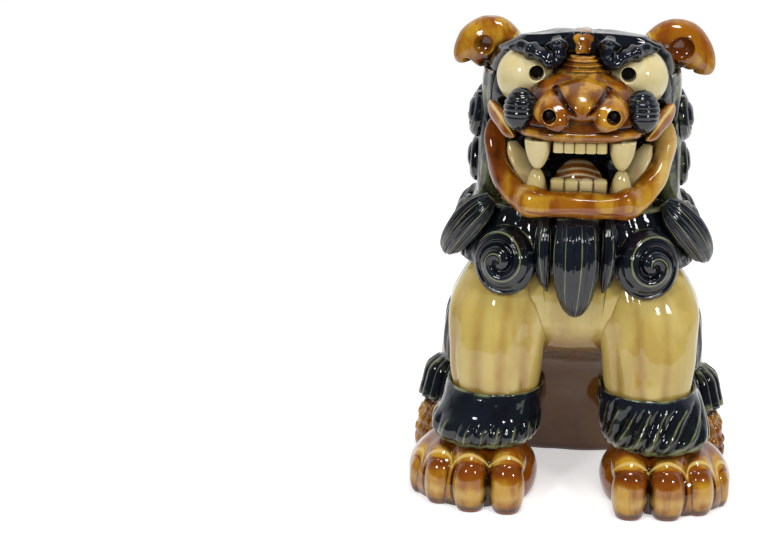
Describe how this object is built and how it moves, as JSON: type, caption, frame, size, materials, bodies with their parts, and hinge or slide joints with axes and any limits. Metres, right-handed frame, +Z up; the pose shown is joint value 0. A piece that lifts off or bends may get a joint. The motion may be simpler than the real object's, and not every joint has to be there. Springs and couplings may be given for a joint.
{
  "type": "guardian lion statue",
  "caption": "Seated guardian lion in glazed stoneware with an open fanged mouth, buff legs, amber face and paws, and a dark mane of curls; hollow, open at the foot.",
  "frame": {"origin": "on the ground under the middle of the statue's bounding box", "axes": "+Z up; the lion faces -Y; +X is to the right of somebody who looks it in the face"},
  "size_m": [0.17, 0.1795, 0.238],
  "materials": {
    "buff_glaze": "glossy olive-buff glaze with thin brown streaks",
    "amber_glaze": "glossy amber glaze, dark brown where it pools",
    "dark_glaze": "glossy blue-black glaze that breaks to yellow-green on edges",
    "cream_glaze": "glossy cream glaze",
    "blush_glaze": "thin glossy glaze over pinkish clay"
  },
  "bodies": {
    "root": {"body": "buff_glaze", "foreleg_left": "buff_glaze", "foreleg_right": "buff_glaze", "forecuff_left": "dark_glaze", "forecuff_right": "dark_glaze", "forepaw_left": "amber_glaze", "forepaw_right": "amber_glaze", "foreclaws_left": "amber_glaze", "foreclaws_right": "amber_glaze", "haunch_left": "buff_glaze", "haunch_right": "buff_glaze", "hindcuff_left": "dark_glaze", "hindcuff_right": "dark_glaze", "hindpaw_left": "amber_glaze", "hindpaw_right": "amber_glaze", "hindclaws_left": "amber_glaze", "hindclaws_right": "amber_glaze", "elbow_tuft_left": "dark_glaze", "elbow_tuft_right": "dark_glaze", "tail": "dark_glaze", "spine_curls": "dark_glaze", "head": "dark_glaze", "ear_left": "amber_glaze", "ear_right": "amber_glaze", "eye_left": "cream_glaze", "eye_right": "cream_glaze", "brow_left": "dark_glaze", "brow_right": "dark_glaze", "forehead_stripe": "amber_glaze", "nose_bridge": "amber_glaze", "nose": "amber_glaze", "muzzle": "amber_glaze", "whisker_pad_left": "dark_glaze", "whisker_pad_right": "dark_glaze", "lip_corner_left": "amber_glaze", "lip_corner_right": "amber_glaze", "upper_teeth": "cream_glaze", "upper_fang_left": "cream_glaze", "upper_fang_right": "cream_glaze", "lower_jaw": "amber_glaze", "lower_teeth": "cream_glaze", "lower_fang_left": "cream_glaze", "lower_fang_right": "cream_glaze", "tongue": "amber_glaze", "cheek_left": "blush_glaze", "cheek_right": "blush_glaze", "beard": "dark_glaze", "beard_lock_left": "dark_glaze", "beard_lock_right": "dark_glaze", "chest_scroll_left": "dark_glaze", "chest_scroll_right": "dark_glaze", "collar": "dark_glaze", "mane": "dark_glaze", "side_lock_left": "dark_glaze", "side_lock_right": "dark_glaze", "upper_curls": "dark_glaze", "middle_curls": "dark_glaze", "lower_curls": "dark_glaze"}
  },
  "joints": []
}
